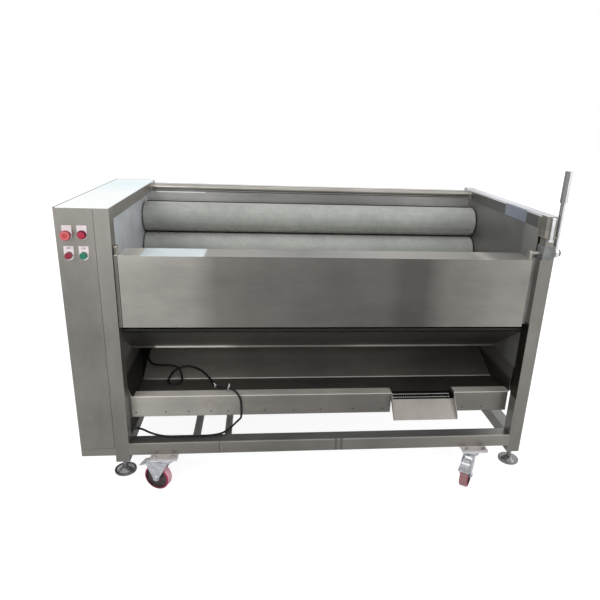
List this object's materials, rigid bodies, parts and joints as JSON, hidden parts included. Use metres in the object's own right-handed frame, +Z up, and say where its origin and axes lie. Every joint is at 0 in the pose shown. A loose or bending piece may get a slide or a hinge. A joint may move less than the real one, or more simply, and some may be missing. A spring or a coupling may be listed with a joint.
{
  "type": "roller vegetable washer",
  "caption": "Stainless steel brush-roller vegetable washer: a curved bed of rollers in an open trough, drive cabinet, lever gate, drip tray, casters and levelling feet",
  "frame": {"origin": "on the floor, at the middle of the machine's bounding box seen from above", "axes": "+X to the right as the operator faces the gate, +Y toward the back, +Z up"},
  "size_m": [1.727, 0.9521, 1.245],
  "materials": {
    "frame_posts": "brushed stainless, satin",
    "frame_rails": "brushed stainless, satin",
    "end_plate_left": "stainless sheet, 2B",
    "end_plate_right": "stainless sheet, 2B",
    "trough_back_panel": "stainless sheet",
    "hopper_front_wall": "stainless sheet",
    "drip_tray": "stainless sheet",
    "outlet_chute": "stainless sheet, bright",
    "spray_pipe": "stainless pipe",
    "cabinet_front_panel": "brushed stainless",
    "cabinet_side_panel": "brushed stainless",
    "cabinet_lid": "brushed stainless, bright",
    "outer_covers": "brushed stainless",
    "bearing_units": "cast housings",
    "gear_motor": "painted cast housing",
    "drive_chains": "oiled roller chain",
    "caster_plates": "zinc plated",
    "button_bezels": "chromed rings, black bodies",
    "legend_plates": "printed plate, plain",
    "fasteners": "stainless",
    "cord_gland": "moulded",
    "power_cord": "rubber sheath",
    "cord_coil": "rubber sheath",
    "power_plug": "moulded",
    "discharge_gate": "brushed stainless",
    "gate_lever": "polished tube",
    "stop_button": "moulded",
    "push_button_1": "moulded",
    "push_button_2": "moulded",
    "push_button_3": "moulded",
    "output_shaft": "turned steel",
    "motor_fan": "moulded",
    "brush_roller": "nylon pile",
    "roller_shaft": "turned steel",
    "caster_fork": "zinc plated",
    "caster_wheel": "polyurethane tread on a dark core",
    "brake_pedal": "zinc plated",
    "levelling_foot": "polished stainless"
  },
  "bodies": {
    "machine_frame": {"frame_posts": "frame_posts", "frame_rails": "frame_rails", "end_plate_left": "end_plate_left", "end_plate_right": "end_plate_right", "trough_back_panel": "trough_back_panel", "hopper_front_wall": "hopper_front_wall", "drip_tray": "drip_tray", "outlet_chute": "outlet_chute", "spray_pipe": "spray_pipe", "cabinet_front_panel": "cabinet_front_panel", "cabinet_side_panel": "cabinet_side_panel", "cabinet_lid": "cabinet_lid", "outer_covers": "outer_covers", "bearing_units": "bearing_units", "gear_motor": "gear_motor", "drive_chains": "drive_chains", "caster_plates": "caster_plates", "button_bezels": "button_bezels", "legend_plates": "legend_plates", "fasteners": "fasteners", "cord_gland": "cord_gland", "power_cord": "power_cord", "cord_coil": "cord_coil", "power_plug": "power_plug"},
    "roller_4": {"brush_roller_4": "brush_roller", "roller_shaft_4": "roller_shaft"},
    "roller_1": {"brush_roller_1": "brush_roller", "roller_shaft_1": "roller_shaft"},
    "roller_2": {"brush_roller_2": "brush_roller", "roller_shaft_2": "roller_shaft"},
    "roller_3": {"brush_roller_3": "brush_roller", "roller_shaft_3": "roller_shaft"},
    "roller_5": {"brush_roller_5": "brush_roller", "roller_shaft_5": "roller_shaft"},
    "roller_6": {"brush_roller_6": "brush_roller", "roller_shaft_6": "roller_shaft"},
    "roller_7": {"brush_roller_7": "brush_roller", "roller_shaft_7": "roller_shaft"},
    "gearbox_output": {"output_shaft": "output_shaft"},
    "motor_rotor": {"motor_fan": "motor_fan"},
    "gate": {"discharge_gate": "discharge_gate", "gate_lever": "gate_lever"},
    "stop_head": {"stop_button": "stop_button"},
    "button_1": {"push_button_1": "push_button_1"},
    "button_2": {"push_button_2": "push_button_2"},
    "button_3": {"push_button_3": "push_button_3"},
    "fork_front_left": {"caster_fork_1": "caster_fork"},
    "wheel_front_left": {"caster_wheel_1": "caster_wheel"},
    "pedal_front_left": {"brake_pedal_1": "brake_pedal"},
    "fork_front_right": {"caster_fork_2": "caster_fork"},
    "wheel_front_right": {"caster_wheel_2": "caster_wheel"},
    "pedal_front_right": {"brake_pedal_2": "brake_pedal"},
    "fork_rear_left": {"caster_fork_3": "caster_fork"},
    "wheel_rear_left": {"caster_wheel_3": "caster_wheel"},
    "fork_rear_right": {"caster_fork_4": "caster_fork"},
    "wheel_rear_right": {"caster_wheel_4": "caster_wheel"},
    "foot_front_left": {"levelling_foot_1": "levelling_foot"},
    "foot_front_right": {"levelling_foot_2": "levelling_foot"},
    "foot_rear_left": {"levelling_foot_3": "levelling_foot"},
    "foot_rear_right": {"levelling_foot_4": "levelling_foot"}
  },
  "joints": [
    {"name": "roller_4_spin", "type": "hinge", "parent": "machine_frame", "child": "roller_4", "pos_m": [-0.7155, 0.07223, 0.63986], "axis": [1, 0, 0], "continuous": true},
    {"name": "roller_1_spin", "type": "hinge", "parent": "machine_frame", "child": "roller_1", "pos_m": [-0.7155, 0.27951, 0.94717], "axis": [1, 0, 0], "continuous": true},
    {"name": "roller_2_spin", "type": "hinge", "parent": "machine_frame", "child": "roller_2", "pos_m": [-0.7155, 0.26753, 0.81295], "axis": [1, 0, 0], "continuous": true},
    {"name": "roller_3_spin", "type": "hinge", "parent": "machine_frame", "child": "roller_3", "pos_m": [-0.7155, 0.19218, 0.70124], "axis": [1, 0, 0], "continuous": true},
    {"name": "roller_5_spin", "type": "hinge", "parent": "machine_frame", "child": "roller_5", "pos_m": [-0.7155, -0.06245, 0.64409], "axis": [1, 0, 0], "continuous": true},
    {"name": "roller_6_spin", "type": "hinge", "parent": "machine_frame", "child": "roller_6", "pos_m": [-0.7155, -0.17831, 0.71289], "axis": [1, 0, 0], "continuous": true},
    {"name": "roller_7_spin", "type": "hinge", "parent": "machine_frame", "child": "roller_7", "pos_m": [-0.7155, -0.2465, 0.82911], "axis": [1, 0, 0], "continuous": true},
    {"name": "output_spin", "type": "hinge", "parent": "machine_frame", "child": "gearbox_output", "pos_m": [-0.7575, 0.0125, 0.265], "axis": [1, 0, 0], "continuous": true},
    {"name": "motor_spin", "type": "hinge", "parent": "machine_frame", "child": "motor_rotor", "pos_m": [-0.7985, 0.0875, 0.328], "axis": [0, 1, 0], "continuous": true},
    {"name": "gate_hinge", "type": "hinge", "parent": "machine_frame", "child": "gate", "pos_m": [-0.6885, -0.3675, 0.957], "axis": [1, 0, 0], "range_deg": [-60, 0]},
    {"name": "stop_press", "type": "slide", "parent": "machine_frame", "child": "stop_head", "axis": [0, 1, 0], "range_m": [0, 0.005], "stiffness_N_per_m": 1500},
    {"name": "button_1_press", "type": "slide", "parent": "machine_frame", "child": "button_1", "axis": [0, 1, 0], "range_m": [0, 0.004], "stiffness_N_per_m": 1000},
    {"name": "button_2_press", "type": "slide", "parent": "machine_frame", "child": "button_2", "axis": [0, 1, 0], "range_m": [0, 0.004], "stiffness_N_per_m": 1000},
    {"name": "button_3_press", "type": "slide", "parent": "machine_frame", "child": "button_3", "axis": [0, 1, 0], "range_m": [0, 0.004], "stiffness_N_per_m": 1000},
    {"name": "swivel_front_left", "type": "hinge", "parent": "machine_frame", "child": "fork_front_left", "pos_m": [-0.5635, -0.3735, 0.137], "axis": [0, 0, 1], "continuous": true},
    {"name": "wheel_spin_front_left", "type": "hinge", "parent": "fork_front_left", "child": "wheel_front_left", "pos_m": [-0.59688, -0.36001, 0.051], "axis": [-0.3746, -0.9272, 0], "continuous": true},
    {"name": "brake_front_left", "type": "hinge", "parent": "fork_front_left", "child": "pedal_front_left", "pos_m": [-0.62469, -0.34878, 0.112], "axis": [-0.3746, -0.9272, 0], "range_deg": [0, 20]},
    {"name": "swivel_front_right", "type": "hinge", "parent": "machine_frame", "child": "fork_front_right", "pos_m": [0.6425, -0.3735, 0.137], "axis": [0, 0, 1], "continuous": true},
    {"name": "wheel_spin_front_right", "type": "hinge", "parent": "fork_front_right", "child": "wheel_front_right", "pos_m": [0.62237, -0.40335, 0.051], "axis": [0.829, -0.5592, 0], "continuous": true},
    {"name": "brake_front_right", "type": "hinge", "parent": "fork_front_right", "child": "pedal_front_right", "pos_m": [0.60559, -0.42822, 0.112], "axis": [0.829, -0.5592, 0], "range_deg": [0, 20]},
    {"name": "swivel_rear_left", "type": "hinge", "parent": "machine_frame", "child": "fork_rear_left", "pos_m": [-0.5635, 0.3985, 0.137], "axis": [0, 0, 1], "continuous": true},
    {"name": "wheel_spin_rear_left", "type": "hinge", "parent": "fork_rear_left", "child": "wheel_rear_left", "pos_m": [-0.53401, 0.41915, 0.051], "axis": [-0.5736, 0.8192, 0], "continuous": true},
    {"name": "swivel_rear_right", "type": "hinge", "parent": "machine_frame", "child": "fork_rear_right", "pos_m": [0.6425, 0.3985, 0.137], "axis": [0, 0, 1], "continuous": true},
    {"name": "wheel_spin_rear_right", "type": "hinge", "parent": "fork_rear_right", "child": "wheel_rear_right", "pos_m": [0.6245, 0.42968, 0.051], "axis": [-0.866, -0.5, 0], "continuous": true},
    {"name": "foot_screw_front_left", "type": "slide", "parent": "machine_frame", "child": "foot_front_left", "axis": [0, 0, -1], "range_m": [0, 0.082]},
    {"name": "foot_screw_front_right", "type": "slide", "parent": "machine_frame", "child": "foot_front_right", "axis": [0, 0, -1], "range_m": [0, 0.082]},
    {"name": "foot_screw_rear_left", "type": "slide", "parent": "machine_frame", "child": "foot_rear_left", "axis": [0, 0, -1], "range_m": [0, 0.082]},
    {"name": "foot_screw_rear_right", "type": "slide", "parent": "machine_frame", "child": "foot_rear_right", "axis": [0, 0, -1], "range_m": [0, 0.082]}
  ],
  "couplings": [
    {"joint": "roller_1_spin", "follows": "roller_4_spin", "ratio": 1},
    {"joint": "roller_2_spin", "follows": "roller_4_spin", "ratio": 1},
    {"joint": "roller_3_spin", "follows": "roller_4_spin", "ratio": 1},
    {"joint": "roller_5_spin", "follows": "roller_4_spin", "ratio": 1},
    {"joint": "roller_6_spin", "follows": "roller_4_spin", "ratio": 1},
    {"joint": "roller_7_spin", "follows": "roller_4_spin", "ratio": 1},
    {"joint": "output_spin", "follows": "roller_4_spin", "ratio": 0.66667},
    {"joint": "motor_spin", "follows": "roller_4_spin", "ratio": 10}
  ]
}
